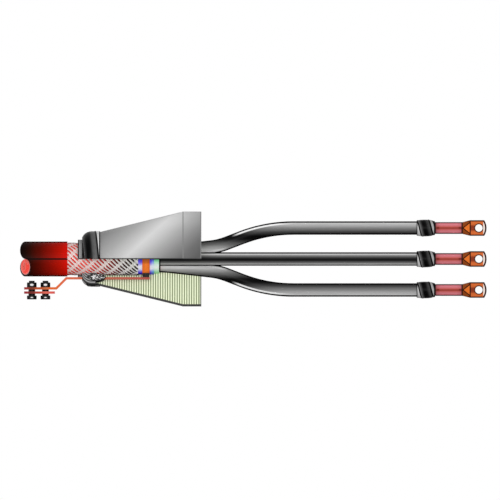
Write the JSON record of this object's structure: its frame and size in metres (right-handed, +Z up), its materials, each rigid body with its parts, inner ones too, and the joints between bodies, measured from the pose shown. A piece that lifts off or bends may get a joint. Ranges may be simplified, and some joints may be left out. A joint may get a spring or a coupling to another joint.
{
  "type": "cable termination",
  "caption": "Sectioned resin-cast termination of an armoured power cable: conical mould, earth bond, black sleeved cores and crimped copper lugs.",
  "frame": {"origin": "on the cable axis at the edge of the outer sheath, the datum that a jointer strips the cable from", "axes": "+X along the cable towards the lugs, +Z up, -Y towards the viewer of the section"},
  "size_m": [0.6672, 0.1358, 0.1358],
  "materials": {
    "sheath": "satin",
    "braid": "woven wire",
    "lead": "scraped bright",
    "belt_paper": "impregnated",
    "filler": "impregnated",
    "insulation": "impregnated",
    "conductor": "bright copper",
    "sleeve": "gloss",
    "tape": "satin",
    "lug": "bright copper",
    "mould": "satin",
    "resin": "cast, sawn on the section",
    "packing": "crumpled",
    "collar": "woven tape",
    "band": "bright copper",
    "black_steel": "blacked",
    "strap": "bright copper"
  },
  "bodies": {
    "root": {"outer_sheath": "sheath", "armour_braid": "braid", "lead_sheath": "lead", "belt_paper": "belt_paper", "core_filler": "filler", "mould_shell": "mould", "resin_fill": "resin", "packing_ring": "packing", "seal_tape": "tape", "entry_collar": "collar", "clamp_band": "band", "clamp_block": "black_steel", "earth_strap": "strap", "earth_link": "strap", "earth_bolts": "black_steel", "earth_nuts": "black_steel", "earth_spacers": "black_steel", "conductor_top": "conductor", "core_insulation_top": "insulation", "core_sleeve_top": "sleeve", "lug_tape_top": "tape", "lug_top": "lug", "conductor_middle": "conductor", "core_insulation_middle": "insulation", "core_sleeve_middle": "sleeve", "lug_tape_middle": "tape", "lug_middle": "lug", "conductor_bottom": "conductor", "core_insulation_bottom": "insulation", "core_sleeve_bottom": "sleeve", "lug_tape_bottom": "tape", "lug_bottom": "lug"}
  },
  "joints": []
}
